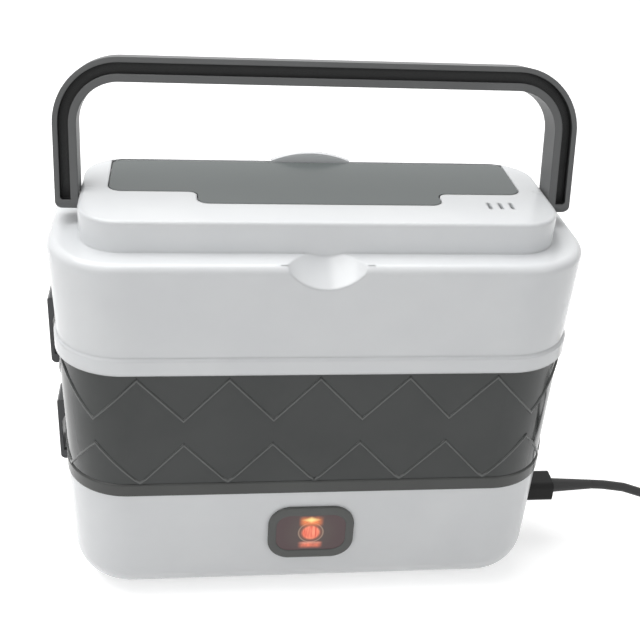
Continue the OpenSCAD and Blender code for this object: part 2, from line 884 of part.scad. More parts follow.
// A place on the tier's outline at distance s along it from the middle of the front.
rib_ref_r = corner_r - (tier_low_inset + tier_top_inset) / 2;
arc_len = PI / 2 * rib_ref_r;
half_outline = 2 * core_x + 2 * core_y + 2 * arc_len;
half_pitch = half_outline / zigzag_teeth;
function on_arc(centre, from, s) = centre
    + rib_ref_r * [cos(from + s / arc_len * 90), sin(from + s / arc_len * 90)];
function outline_at(s) =
    s < core_x ? [s, -core_y - rib_ref_r]
    : s < core_x + arc_len ? on_arc([core_x, -core_y], -90, s - core_x)
    : s < core_x + arc_len + 2 * core_y
        ? [core_x + rib_ref_r, s - core_x - arc_len - core_y]
    : s < core_x + 2 * arc_len + 2 * core_y
        ? on_arc([core_x, core_y], 0, s - core_x - arc_len - 2 * core_y)
    : [half_outline - s, core_y + rib_ref_r];

upper_peak_z = cover_z - 3.1;
lower_peak_z = tier_z - 0.1 + zigzag_rise;

// One straight rib from outline distance s0 to s1, cut square to the wall.
module rib(s0, s1, z0, z1) {
    a = outline_at(s0);
    b = outline_at(s1);
    chord = norm(b - a);
    half_h = rib_w / 2 / cos(atan((z1 - z0) / chord));
    over = 0.2;
    slope = (z1 - z0) / chord;
    translate([a[0], a[1], 0]) rotate([0, 0, atan2(b[1] - a[1], b[0] - a[0])])
        rotate([90, 0, 0]) translate([0, 0, -5]) linear_extrude(10)
            polygon([[-over, z0 - slope * over - half_h], [chord + over, z1 + slope * over - half_h],
                     [chord + over, z1 + slope * over + half_h],
                     [-over, z0 - slope * over + half_h]]);
}

module rib_row(even_z, odd_z) {
    for (side = [-1, 1], i = [0:zigzag_teeth - 1]) on_side(side)
        rib(i * half_pitch, (i + 1) * half_pitch,
            i % 2 == 0 ? even_z : odd_z, i % 2 == 0 ? odd_z : even_z);
}

// Both zigzag rows, kept to a thin skin on the wall and left out behind the latches.
module zigzag_ribs() {
    root = 0.4;
    difference() {
        intersection() {
            around() polygon([[at_inset(tier_low_inset) - root, tier_z],
                [at_inset(tier_low_inset) + rib_proud, tier_z],
                [at_inset(tier_top_inset) + rib_proud, cover_z],
                [at_inset(tier_top_inset) - root, cover_z]]);
            union() {
                rib_row(upper_peak_z, upper_peak_z - zigzag_rise);
                rib_row(lower_peak_z - zigzag_rise, lower_peak_z);
            }
        }
        for (side = [-1, 1]) on_side(side) {
            translate([core_x + corner_r / 2, -latch_w / 2 - 1, tier_z - past])
                cube([corner_r, latch_w + 2, lower_pivot + latch_len + 2 - tier_z]);
            translate([core_x + corner_r / 2, -latch_w / 2 - 1, upper_pivot - ear_r - 1])
                cube([corner_r, latch_w + 2, tier_h]);
        }
    }
}

// ---------------------------------------------------------------- cover

function cover_inset(z) = cover_low_inset
    * (cover_top_z - z) / (cover_top_z - cover_z - flange_h);

platform_x = body_w / 2 - ledge_w;
platform_y = body_d / 2 - ledge_w;
roof_t = 2.4;
flange_round = 1;

// The cover's outer outline, or its hollow when a skin is taken off.
module cover_outline() {
    translate([at_inset(ledge_round), cover_top_z]) quarter_disc(ledge_round, 0);
    translate([at_inset(ledge_w + platform_round), top_z - platform_round])
        quarter_disc(platform_round, 0);
    polygon([[0, cover_z], [at_inset(flange_inset), cover_z],
             [at_inset(flange_inset), cover_z + flange_h - flange_round],
             [at_inset(flange_inset + flange_round), cover_z + flange_h],
             [at_inset(cover_low_inset), cover_z + flange_h], [at_inset(0), cover_top_z],
             [at_inset(ledge_round), cover_top_z], [at_inset(ledge_round), ledge_z],
             [at_inset(ledge_w), ledge_z], [at_inset(ledge_w), top_z - platform_round],
             [at_inset(ledge_w + platform_round), top_z - platform_round],
             [at_inset(ledge_w + platform_round), top_z], [0, top_z]]);
}

module cover_hollow() {
    low_in = cover_low_inset + cover_wall;
    foot_in = cover_foot_in;
    arc = ledge_round - cover_wall;
    translate([at_inset(cover_wall + arc), cover_top_z]) quarter_disc(arc, 0);
    polygon([[0, cover_z - past], [at_inset(foot_in), cover_z - past],
             [at_inset(foot_in), cover_z + foot_plate_t],
             [at_inset(low_in), cover_z + foot_plate_t], [at_inset(low_in), cover_z + flange_h],
             [at_inset(cover_wall), cover_top_z], [at_inset(cover_wall + arc), cover_top_z],
             [at_inset(cover_wall + arc), cover_top_z + arc],
             [at_inset(ledge_w + cover_wall), cover_top_z + arc],
             [at_inset(ledge_w + cover_wall), top_z - roof_t], [0, top_z - roof_t]]);
}

cover_spigot = tier_top_inset + tier_wall + spigot_gap;
cover_foot_in = cover_spigot + spigot_t + 2.4;

lid_back_y = platform_y - 2.6;
lid_front_y = lid_back_y - lid_d;
lid_corner_r = 6;
tab_corner_r = 5;
tab_fillet_r = 4;
lid_back_gap = 1.2;
rear_wall = 1.4;
rebate_z = top_z - lid_t - 0.2;
rest_w = 2.6;
rest_t = 2;
box_wall = 2;
box_x = lid_w / 2 - rest_w - 0.4;
box_front_y = lid_front_y + rest_w;
box_back_y = platform_y - rear_wall;
box_z = rebate_z - compartment_depth;
lid_hinge_y = lid_back_y - 5.6;
lid_hinge_z = rebate_z - 1.8;
// Room at the lid's hinge for the edge that swings down behind it.
pocket_x = lid_w / 2 + lid_gap;
pocket_y = lid_hinge_y - 3.4;
pocket_z = lid_hinge_z - 7.2;
pocket_top_z = top_z - 1;
// How far behind the hinge the open lid's top face leans, at the platform's top.
swing_lean = 1.2;
swing_y = lid_hinge_y + swing_lean * (top_z - lid_hinge_z) + lid_gap;
// The low hood behind the hinge.
hood_w = 38;
hood_h = 4;
hood_t = 3;

// The lid's outline seen from above, grown by a gap.
module lid_outline(gap, back_gap) {
    front = lid_front_y - gap;
    back = lid_back_y + back_gap;
    translate([0, (front + back) / 2])
        rounded_rect(lid_w + 2 * gap, back - front, lid_corner_r + gap);
    translate([0, front - tab_d / 2 + tab_corner_r])
        rounded_rect(tab_w + 2 * gap, tab_d + 2 * tab_corner_r, tab_corner_r + gap);
    for (side = [-1, 1]) mirror([side < 0 ? 1 : 0, 0])
        translate([tab_w / 2 + gap, front - tab_fillet_r]) difference() {
            square(tab_fillet_r);
            translate([tab_fillet_r, 0]) circle(tab_fillet_r);
        }
}

module cover_blank() {
    around() difference() {
        cover_outline();
        cover_hollow();
    }
    middle(top_z - roof_t, top_z);
    around() translate([at_inset(cover_spigot + spigot_t), cover_z - cover_spigot_h])
        square([spigot_t, cover_spigot_h + past]);
    catch_beads(upper_pivot, upper_catch_x);
    // The compartment's walls and floor, and the rest that the lid's tab closes on.
    translate([-box_x - box_wall, box_front_y - box_wall, box_z - box_wall])
        cube([2 * (box_x + box_wall), box_back_y - box_front_y + box_wall + rear_wall,
              top_z - roof_t - box_z + box_wall]);
    translate([-tab_w / 2 - 3, lid_front_y - tab_d - 3, rebate_z - rest_t])
        cube([tab_w + 6, tab_d + 6, rest_t + 0.4]);
    translate([-pocket_x - box_wall, pocket_y - box_wall, pocket_z - box_wall])
        cube([2 * (pocket_x + box_wall), platform_y - pocket_y + box_wall - past,
              top_z - roof_t / 2 - pocket_z + box_wall]);
    hinge_hood();
    // Bosses behind the platform's ends carry the handle's pivots.
    for (side = [-1, 1]) translate([side * (platform_x - cover_wall - pivot_boss), 0, pivot_z])
        rotate([0, side * 90, 0]) cylinder(h = pivot_boss + past, r = pivot_r + 2);
    // The scoops' floors keep the wall's thickness inside the cover.
    for (turn = [0, 180]) rotate([0, 0, turn]) intersection() {
        scoop(cover_wall);
        translate([-2 * scoop_r, -body_d / 2 + cover_wall, cover_z + flange_h])
            cube([4 * scoop_r, ledge_w + 4, ledge_z - cover_z - flange_h]);
    }
}

// A shallow arch of plastic that covers the hinge at the platform's back edge.
module hinge_hood() {
    hood_r = (pow(hood_w / 2, 2) + pow(hood_h, 2)) / (2 * hood_h);
    translate([0, box_back_y + hood_t, 0]) rotate([90, 0, 0]) linear_extrude(hood_t)
        intersection() {
            translate([0, top_z + hood_h - hood_r]) circle(hood_r);
            translate([-hood_w / 2, top_z - 0.6]) square([hood_w, hood_h + past]);
        }
}

// A finger scoop in the front: a sloping round trough through the ledge's edge.
scoop_low_z = ledge_z - scoop_depth;
scoop_run = 60;
scoop_reach = 20;
module scoop(skin) {
    translate([0, -body_d / 2, scoop_low_z]) rotate([scoop_slope, 0, 0])
        translate([0, 0, scoop_r]) rotate([90, 0, 0])
            cylinder(h = scoop_run, r = scoop_r + skin, center = true);
}

module scoop_room() {
    intersection() {
        scoop(0);
        translate([-2 * scoop_r, -body_d / 2 - scoop_reach, ledge_z - 3 * scoop_depth])
            cube([4 * scoop_r, ledge_w + scoop_reach, 3 * scoop_depth + past]);
    }
}

slot_len = 7;
slot_pitch = 5.1;
slot_x = 81.1;
slot_y = -17;
slot_cut_w = 1.6;

module cover_shell() {
    color("white") difference() {
        cover_blank();
        translate([0, 0, rebate_z]) linear_extrude(lid_t + past)
            lid_outline(lid_gap, lid_back_gap);
        translate([-box_x, box_front_y, box_z])
            cube([2 * box_x, box_back_y - box_front_y, compartment_depth + past]);
        translate([-pocket_x, pocket_y, pocket_z])
            cube([2 * pocket_x, box_back_y - pocket_y, pocket_top_z - pocket_z]);
        translate([-pocket_x, pocket_y, pocket_z])
            cube([2 * pocket_x, swing_y - pocket_y, top_z + past - pocket_z]);
        for (turn = [0, 180]) rotate([0, 0, turn]) scoop_room();
        for (i = [-1:1]) translate([slot_x + i * slot_pitch, slot_y, rebate_z - 3])
            linear_extrude(lid_t + 6) rounded_rect(slot_cut_w, slot_len, slot_cut_w / 2 - 0.01);
        translate([0, 0, pivot_z]) rotate([0, 90, 0]) for (side = [-1, 1])
            translate([0, 0, side * (platform_x - pivot_embed / 2 + past / 2)])
                cylinder(h = pivot_embed + past, r = pivot_r, center = true);
        translate([0, lid_hinge_y, lid_hinge_z]) rotate([0, 90, 0])
            for (side = [-1, 1]) translate([0, 0, side * (pocket_x + hinge_pin_in / 2)])
                cylinder(h = hinge_pin_in + past, r = hinge_pin_r, center = true);
    }
}

module cover_seal() {
    inner = cover_spigot + spigot_t + run_gap;
    gap_h = cover_z - upper_rim_z - lid_edge_top;
    color("lightgray") flat_ring(inner, inner + 1.6, cover_z - gap_h, gap_h);
}

// ---------------------------------------------------------------- cutlery lid

hinge_pin_r = 1.2;
hinge_pin_in = 1.6;
lug_t = 3;
lug_r = 2.2;
lug_x = lid_w / 2 - 0.6 - lug_t;

module cutlery_hinge_pins() {
    color("silver") for (side = [-1, 1])
        translate([side * lug_x, lid_hinge_y, lid_hinge_z]) rotate([0, side * 90, 0])
            cylinder(h = pocket_x + hinge_pin_in - lug_x, r = hinge_pin_r);
}

module cutlery_lid() {
    back_round = 1;
    color("darkslategray") difference() {
        union() {
            difference() {
                translate([0, 0, top_z - lid_t]) linear_extrude(lid_t) lid_outline(0, 0);
                translate([-lid_w, lid_back_y - back_round, top_z - back_round])
                    difference() {
                        cube([2 * lid_w, 2 * back_round, 2 * back_round]);
                        rotate([0, 90, 0]) cylinder(h = 2 * lid_w, r = back_round);
                    }
            }
            for (side = [-1, 1]) on_side(side)
                translate([lug_x, lid_hinge_y, lid_hinge_z]) rotate([90, 0, 90])
                    linear_extrude(lug_t) {
                        circle(lug_r);
                        translate([-lug_r, 0]) square([2 * lug_r, top_z - lid_t - lid_hinge_z]);
                    }
        }
        translate([0, lid_hinge_y, lid_hinge_z]) rotate([0, 90, 0])
            cylinder(h = lid_w, r = hinge_pin_r + pin_play, center = true);
    }
}

// ---------------------------------------------------------------- cutlery

cutlery_len = 165;
cutlery_w = 6;
cutlery_t = 1.6;
bowl_w = 28;
bowl_len = 42;
neck_in = 6;
cutlery_y = (box_front_y + box_back_y) / 2;

// A flat handle from its end, widening to a head of the given outline.
module cutlery_handle() {
    translate([0, -cutlery_w / 2]) square([cutlery_len - bowl_len, cutlery_w]);
    translate([2, 0]) circle(4.5);
}

module spoon() {
    color("silver") translate([-cutlery_len / 2, cutlery_y, box_z + 0.3]) {
        linear_extrude(cutlery_t) cutlery_handle();
        translate([cutlery_len - bowl_len / 2 - neck_in, 0, 0]) difference() {
            linear_extrude(5) scale([1, bowl_w / bowl_len]) circle(bowl_len / 2);
            translate([0, 0, 1.2]) linear_extrude(5)
                scale([1, (bowl_w - 3) / (bowl_len - 3)]) circle(bowl_len / 2 - 1.5);
        }
    }
}

module fork() {
    tine_w = 3;
    tine_gap = 2.4;
    tines_w = 4 * tine_w + 3 * tine_gap;
    color("silver") translate([cutlery_len / 2, cutlery_y, box_z + 5.6])
        mirror([1, 0, 0]) linear_extrude(cutlery_t) {
            cutlery_handle();
            difference() {
                translate([cutlery_len - bowl_len / 2 - 3, 0])
                    rounded_rect(bowl_len, tines_w, 5);
                for (i = [-1:1])
                    translate([cutlery_len - bowl_len / 2 - neck_in,
                               i * (tine_w + tine_gap) - tine_gap / 2])
                        square([bowl_len, tine_gap]);
            }
        }
}

// ---------------------------------------------------------------- handle

pivot_z = ledge_z + pivot_h;
pivot_boss = 3;
pivot_embed = cover_wall + pivot_boss - 0.4;
leg_gap = 0.4;
leg_foot = 4.5;
leg_foot_r = 3;
foot_corner_r = 3.6;
foot_lip = 4.2;
outer_rim = 2.3;
inner_half = platform_x + leg_gap;
outer_half = inner_half + leg_t;

module handle_pivots() {
    color("silver") for (side = [-1, 1])
        translate([side * (platform_x - pivot_embed), 0, pivot_z]) rotate([0, side * 90, 0])
            cylinder(h = pivot_embed + leg_gap + leg_t - 3, r = pivot_r);
}

// The arch seen from the front, less a rim along its outside and one along its
// inside, and with its feet cut off at a height.
module arch(rim_out, rim_in, low) {
    inner_r = handle_bend_r - grip_t;
    difference() {
        arch_block(outer_half - rim_out, handle_reach - rim_out, handle_bend_r - rim_out, low,
                   foot_corner_r - rim_out);
        arch_block(inner_half + rim_in, handle_reach - grip_t + rim_in, inner_r + rim_in,
                   low - past, 0);
    }
}

module arch_block(half, high, r, low, low_r) {
    translate([-half, low + low_r]) square([2 * half, high - r - low - low_r]);
    translate([-half + low_r, low]) square([2 * (half - low_r), high - low - r]);
    translate([-half + r, low]) square([2 * (half - r), high - low]);
    for (x = [-1, 1]) {
        translate([x * (half - r), high - r]) circle(r);
        if (low_r > 0) translate([x * (half - low_r), low + low_r]) circle(low_r);
    }
}

module handle() {
    color("dimgray") translate([0, 0, pivot_z]) rotate([-handle_lean, 0, 0]) difference() {
        intersection() {
            translate([0, handle_d / 2, 0]) rotate([90, 0, 0]) linear_extrude(handle_d)
                arch(0, 0, -leg_foot);
            // The feet are rounded where they turn past the ledge.
            rotate([90, 0, 90]) linear_extrude(2 * outer_half, center = true) {
                translate([-handle_d / 2, 0]) square([handle_d, handle_reach + past]);
                translate([-handle_d / 2 + leg_foot_r, -leg_foot])
                    square([handle_d - 2 * leg_foot_r, leg_foot]);
                for (y = [-1, 1])
                    translate([y * (handle_d / 2 - leg_foot_r), -leg_foot + leg_foot_r])
                        circle(leg_foot_r);
                translate([-handle_d / 2, -leg_foot + leg_foot_r])
                    square([handle_d, leg_foot]);
            }
        }
        // The channel open to the front.
        translate([0, -handle_d / 2 + groove_depth, 0]) rotate([90, 0, 0])
            linear_extrude(groove_depth + past)
                arch(outer_rim, grip_t - groove_w - outer_rim, foot_lip - leg_foot);
        for (side = [-1, 1]) translate([side * (inner_half + (leg_t - 3) / 2 - past / 2), 0, 0])
            rotate([0, 90, 0])
                cylinder(h = leg_t - 3 + past + 0.2, r = pivot_r + pin_play, center = true);
    }
}

// ---------------------------------------------------------------- cord

connector_x = inlet_x + 0.4 + socket_lip;
connector_end = connector_x + run_gap + connector_grip;
boot_end = connector_end + boot_len;
boot_r = 3.9;

module cord_connector() {
    nose = recess_depth - 1;
    color("black") difference() {
        union() {
            along_inlet(inlet_x - nose) linear_extrude(nose + 2) connector_outline(0);
            along_inlet(connector_x + run_gap) linear_extrude(connector_grip)
                rounded_rect(connector_h + 3, connector_w + 3, 3);
        }
        for (side = [-1, 1]) translate([0, side * inlet_pin_y, 0])
            along_inlet(inlet_x - nose - past) cylinder(h = nose, r = inlet_pin_r + 0.1);
    }
}

module cord_boot() {
    color("black") along_inlet(connector_end)
        cylinder(h = boot_len, r1 = boot_r, r2 = cord_d / 2);
}

// The cord's path: down from the connector, along the table, to the coil's outer turn.
cord_r = cord_d / 2;
lead_route = [[160, 0, 28.5], [168, 0, 28], [180, -0.4, 26.2], [192, -1.6, 22.5],
              [203, -3.6, 17], [213, -6, 11], [222, -8.2, 6.2], [231, -9.6, 3.6],
              [240, -10.2, 2.8], [246, -10.4, 2.7]];
tail_route = [[292, 32, 6.4], [294, 40, 4], [295.5, 48, 2.9], [296, 54, 2.9],
              [296, 58, 3.8], [296, 62, 5.5]];
coil_centre = [258, 22];
coil_r = 27.5;
coil_turns_wide = 3;
coil_layers = 2;

// Sweeps a ring of points along a route as one closed solid.
cord_sides = 8;
function route_dir(route, i) =
    let (d = route[min(i + 1, len(route) - 1)] - route[max(i - 1, 0)]) d / norm(d);
function ring_points(route, i) =
    let (d = route_dir(route, i), side = cross(d, [0, 0, 1]) / norm(cross(d, [0, 0, 1])),
         up = cross(side, d))
    [for (k = [0:cord_sides - 1]) route[i]
        + cord_r * (cos(360 * k / cord_sides) * side + sin(360 * k / cord_sides) * up)];
module swept_cord(route) {
    rings = len(route);
    points = [for (i = [0:rings - 1]) each ring_points(route, i)];
    sides = [for (i = [0:rings - 2], k = [0:cord_sides - 1])
        let (a = i * cord_sides + k, b = i * cord_sides + (k + 1) % cord_sides)
        [a, b, b + cord_sides, a + cord_sides]];
    first_cap = [for (k = [0:cord_sides - 1]) cord_sides - 1 - k];
    last_cap = [for (k = [0:cord_sides - 1]) (rings - 1) * cord_sides + k];
    color("black") polyhedron(points, concat([first_cap], sides, [last_cap]));
}

module cord_lead() {
    swept_cord(concat([[boot_end, 0, inlet_z]], [for (i = [1:len(lead_route) - 1]) lead_route[i]]));
}

module cord_tail() {
    swept_cord(tail_route);
}

module cord_coil() {
    w = coil_turns_wide * cord_d;
    h = coil_layers * cord_d;
    color("black") translate([coil_centre[0], coil_centre[1], 0.2]) rotate_extrude()
        translate([coil_r, h / 2]) rounded_rect(w, h, cord_d / 2);
}

plug_len = 30;
plug_w = 24;
plug_h = 14;
blade_len = 16;
plug_neck = 10;
plug_x = tail_route[len(tail_route) - 1][0];
plug_y = tail_route[len(tail_route) - 1][1];

module mains_plug() {
    color("black") translate([plug_x, plug_y, 0.2 + plug_h / 2]) rotate([-90, 0, 0]) {
        linear_extrude(plug_neck) rounded_rect(plug_w - 8, plug_h - 4, 4);
        translate([0, 0, plug_neck]) linear_extrude(plug_len - plug_neck)
            rounded_rect(plug_w, plug_h, 5);
    }
}

module plug_blades() {
    color("gold") for (side = [-1, 1])
        translate([plug_x + side * 6.35 - 0.75, plug_y + plug_len,
                   0.2 + plug_h / 2 - 3.2])
            cube([1.5, blade_len, 6.4]);
}

base_shell();
bottom_cover();
rubber_feet();
bottom_screws();
base_trim();
heating_pan();
pan_seal();
heater_plate();
heating_element();
element_clamp();
clamp_screws();
thermostat();
thermal_fuse();
inlet_socket();
inlet_pins();
indicator_bezel();
indicator_lens();
lamp_ring();
neon_lamp();
lamp_board();
supply_leads();
lamp_leads();
lower_latch_pins();
lower_latch_left();
lower_latch_right();
lower_container();
lower_lid();
lower_lid_seal();
lower_lid_valve();
tier_shell();
tier_seal();
upper_latch_pins();
upper_latch_left();
upper_latch_right();
upper_container();
upper_lid();
upper_lid_seal();
upper_lid_valve();
cover_shell();
cover_seal();
handle_pivots();
cutlery_hinge_pins();
spoon();
fork();
cutlery_lid();
handle();
cord_connector();
cord_boot();
cord_lead();
cord_coil();
cord_tail();
mains_plug();
plug_blades();
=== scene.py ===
# %% [markdown]
# # Dressing an electric lunch box
# The solid model of the box comes in as a fixed frame: every plastic shell, steel tub,
# latch and pin is already there at its real size, in metres, with +Z up and the front
# towards -Y. What is left for Blender is the camera, the light, the finishes, the
# flexible cord, and the small soft forms that moulded plastic has.

# %% Load the frame
import math

import bmesh
import bpy
from mathutils import Matrix, Vector


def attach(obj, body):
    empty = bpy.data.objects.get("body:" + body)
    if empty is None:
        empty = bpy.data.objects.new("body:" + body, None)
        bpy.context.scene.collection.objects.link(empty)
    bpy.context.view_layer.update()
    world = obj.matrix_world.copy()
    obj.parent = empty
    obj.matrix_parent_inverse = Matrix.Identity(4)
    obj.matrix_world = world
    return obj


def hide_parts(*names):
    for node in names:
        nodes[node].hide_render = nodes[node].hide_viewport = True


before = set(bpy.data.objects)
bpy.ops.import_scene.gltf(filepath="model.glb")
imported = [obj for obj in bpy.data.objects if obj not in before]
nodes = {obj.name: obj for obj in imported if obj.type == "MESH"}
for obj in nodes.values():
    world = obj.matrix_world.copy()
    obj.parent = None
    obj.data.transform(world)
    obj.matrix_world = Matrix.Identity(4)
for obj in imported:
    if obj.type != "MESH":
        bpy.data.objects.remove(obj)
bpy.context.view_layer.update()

# %% [markdown]
# A few sizes that the rest of the lesson uses again and again. They are the box's own
# sizes, and they are kept together so that a reader can see what drives what.

# %% Sizes of the box
MM = 0.001
BODY_HALF_W = 120 * MM
BODY_HALF_D = 51 * MM
CORNER_R = 33 * MM
CORE_X = BODY_HALF_W - CORNER_R
CORE_Y = BODY_HALF_D - CORNER_R
CORD_D = 5 * MM


def deselect():
    """Leaves nothing selected and nothing active, so that an operator acts on one piece."""
    bpy.ops.object.select_all(action="DESELECT")
    bpy.context.view_layer.objects.active = None


deselect()

# %% [markdown]
# ## Camera
# The box is seen from a little above, from just left of its middle, with the camera
# rolled by a few degrees. Where the camera stands and which way it looks are written as
# three angles, and the matrix is built from them, so that each can be changed alone.

# %% Camera
CAMERA_AT = Vector((-57.2, -448.8, 385.0)) * MM
CAMERA_YAW = 7.84
CAMERA_PITCH = 29.08
CAMERA_ROLL = 3.63
FOCAL_PIXELS = 1063.8
FRAME_PIXELS = 640

yaw = math.radians(CAMERA_YAW)
pitch = math.radians(CAMERA_PITCH)
roll = math.radians(CAMERA_ROLL)
level = Vector((math.sin(yaw), math.cos(yaw), 0))
forward = level * math.cos(pitch) - Vector((0, 0, math.sin(pitch)))
right_level = Vector((math.cos(yaw), -math.sin(yaw), 0))
up_level = Vector((0, 0, math.cos(pitch))) + level * math.sin(pitch)
right = right_level * math.cos(roll) + up_level * math.sin(roll)
up = up_level * math.cos(roll) - right_level * math.sin(roll)

camera_data = bpy.data.cameras.new("camera")
camera_data.sensor_width = 36
camera_data.lens = FOCAL_PIXELS * camera_data.sensor_width / FRAME_PIXELS
camera_data.clip_start = 0.01
camera = bpy.data.objects.new("camera", camera_data)
turn = Matrix((right, up, -forward)).transposed().to_4x4()
camera.matrix_world = Matrix.Translation(CAMERA_AT) @ turn
bpy.context.scene.collection.objects.link(camera)
bpy.context.scene.camera = camera
print("lens mm:", round(camera_data.lens, 2))

# %% [markdown]
# ## Floor, background and light
# White plastic shows its shape only through soft shading, so the room is a white floor
# and a white world, with wide lamps. The world looks white to the camera and in
# reflections, but gives the box only a plain level of light, so that no white clips.

# %% Floor and world
FLOOR_HALF = 3.0
FLOOR_COLOUR = (0.86, 0.86, 0.86, 1)
FLOOR_GLOW = 0.55
WORLD_LIT = 0.30
WORLD_SEEN = 1.0

bpy.ops.mesh.primitive_plane_add(size=2 * FLOOR_HALF, location=(0, 0, 0))
floor = bpy.context.object
floor.name = "floor"


def seen_rays(tree):
    """1 for camera, glossy and transmission rays, and 0 for the rays that light the box."""
    path = tree.nodes.new("ShaderNodeLightPath")
    seen = path.outputs["Is Camera Ray"]
    for ray in ("Is Glossy Ray", "Is Transmission Ray"):
        either = tree.nodes.new("ShaderNodeMath")
        either.operation = "MAXIMUM"
        tree.links.new(seen, either.inputs[0])
        tree.links.new(path.outputs[ray], either.inputs[1])
        seen = either.outputs[0]
    return seen


def white_light(tree, kind, strength):
    """A background or an emission shader in plain white."""
    node = tree.nodes.new(kind)
    node.inputs["Color"].default_value = (1, 1, 1, 1)
    node.inputs["Strength"].default_value = strength
    return node


def mix_looks(tree, lit, seen):
    """One shader for the rays that light the box, and another for what is looked at."""
    mix = tree.nodes.new("ShaderNodeMixShader")
    tree.links.new(seen_rays(tree), mix.inputs[0])
    tree.links.new(lit.outputs[0], mix.inputs[1])
    tree.links.new(seen.outputs[0], mix.inputs[2])
    return mix


world = bpy.data.worlds.new("studio")
bpy.context.scene.world = world
world.use_nodes = True
sky = world.node_tree
sky.nodes.clear()
sky_out = sky.nodes.new("ShaderNodeOutputWorld")
sky_mix = mix_looks(sky, white_light(sky, "ShaderNodeBackground", WORLD_LIT),
                    white_light(sky, "ShaderNodeBackground", WORLD_SEEN))
sky.links.new(sky_mix.outputs[0], sky_out.inputs[0])

floor_paint = bpy.data.materials.new("floor_white")
floor_paint.use_nodes = True
tree = floor_paint.node_tree
tree.nodes.clear()
floor_out = tree.nodes.new("ShaderNodeOutputMaterial")
floor_lit = tree.nodes.new("ShaderNodeBsdfDiffuse")
floor_lit.inputs["Color"].default_value = FLOOR_COLOUR
floor_glow = white_light(tree, "ShaderNodeEmission", FLOOR_GLOW)
floor_seen = tree.nodes.new("ShaderNodeAddShader")
tree.links.new(floor_lit.outputs[0], floor_seen.inputs[0])
tree.links.new(floor_glow.outputs[0], floor_seen.inputs[1])
tree.links.new(mix_looks(tree, floor_lit, floor_seen).outputs[0], floor_out.inputs["Surface"])
floor.data.materials.append(floor_paint)
bpy.context.scene.view_settings.view_transform = "Standard"
print("floor side m:", 2 * FLOOR_HALF, "world light:", WORLD_LIT)

# %% [markdown]
# The widest lamp hangs above and a little behind, which makes the platform and the ledge
# the brightest faces. Two weaker ones stand in front, left and right, and keep the front
# walls a plain light grey.

# %% Lamps


def area_lamp(name, at, aim, width, height, watts):
    """A wide rectangular lamp at one place that points at another."""
    data = bpy.data.lights.new(name, "AREA")
    data.shape = "RECTANGLE"
    data.size = width
    data.size_y = height
    data.energy = watts
    lamp = bpy.data.objects.new(name, data)
    direction = Vector(aim) - Vector(at)
    facing = direction.to_track_quat("-Z", "Y").to_matrix().to_4x4()
    lamp.matrix_world = Matrix.Translation(Vector(at)) @ facing
    bpy.context.scene.collection.objects.link(lamp)


area_lamp("top_window", at=(-0.3, 0.25, 1.3), aim=(0, 0, 0.1), width=1.6, height=1.0, watts=18)
area_lamp("front_left", at=(-1.0, -1.1, 0.9), aim=(0, 0, 0.12), width=0.8, height=1.0, watts=2.9)
area_lamp("front_right", at=(1.1, -1.0, 0.8), aim=(0, 0, 0.12), width=0.5, height=1.1, watts=1.9)

# %% [markdown]
# ## Finishes
# Moulded plastic is never one flat colour. Its gloss wanders a little, its skin has a
# very fine ripple, and dust and handling dull it here and there. Each finish below is
# a Principled shader whose colour and roughness come from noise on the piece's own
# coordinates, while the numbers that are the same all over sit on the shader itself.

# %% Helpers for the finishes
RAMP_START, RAMP_END = 0.3, 0.7
MOTTLE_SCALE = 28
RIPPLE_SCALE = 900
RIPPLE_DEPTH = 0.05 * MM
GRAIN_SCALE = 300
GRAIN_DEPTH = 0.04 * MM
HOLLOW_FULL, HOLLOW_NONE = 0.45, 0.85


def new_finish(name):
    """An empty node material with its Principled shader."""
    paint = bpy.data.materials.new(name)
    paint.use_nodes = True
    tree = paint.node_tree
    shader = tree.nodes["Principled BSDF"]
    place = tree.nodes.new("ShaderNodeTexCoord")
    return paint, tree, shader, place


def noise(tree, place, scale, detail=3.0, stretch=(1, 1, 1)):
    """A noise on object coordinates, stretched where a grain runs one way."""
    mapping = tree.nodes.new("ShaderNodeMapping")
    mapping.inputs["Scale"].default_value = stretch
    texture = tree.nodes.new("ShaderNodeTexNoise")
    texture.inputs["Scale"].default_value = scale
    texture.inputs["Detail"].default_value = detail
    tree.links.new(place.outputs["Object"], mapping.inputs["Vector"])
    tree.links.new(mapping.outputs["Vector"], texture.inputs["Vector"])
    return texture


def ramp(tree, source, low, high, start=RAMP_START, end=RAMP_END):
    """Turns a 0 to 1 noise into colours from low to high."""
    node = tree.nodes.new("ShaderNodeValToRGB")
    node.color_ramp.elements[0].position = start
    node.color_ramp.elements[1].position = end
    node.color_ramp.elements[0].color = (*low, 1)
    node.color_ramp.elements[1].color = (*high, 1)
    tree.links.new(source, node.inputs["Fac"])
    return node


def span(tree, source, low, high):
    """Maps a 0 to 1 noise onto a range of one number, such as roughness."""
    node = tree.nodes.new("ShaderNodeMapRange")
    node.inputs["From Min"].default_value = RAMP_START
    node.inputs["From Max"].default_value = RAMP_END
    node.inputs["To Min"].default_value = low
    node.inputs["To Max"].default_value = high
    tree.links.new(source, node.inputs["Value"])
    return node


def bump(tree, shader, source, strength, distance, edge=0.0):
    """Raises the surface by a texture, by distance in metres, over edges rounded by edge."""
    node = tree.nodes.new("ShaderNodeBump")
    if edge:
        round_edge = tree.nodes.new("ShaderNodeBevel")
        round_edge.samples = 4
        round_edge.inputs["Radius"].default_value = edge
        tree.links.new(round_edge.outputs["Normal"], node.inputs["Normal"])
    node.inputs["Strength"].default_value = strength
    node.inputs["Distance"].default_value = distance
    tree.links.new(source, node.inputs["Height"])
    tree.links.new(node.outputs["Normal"], shader.inputs["Normal"])


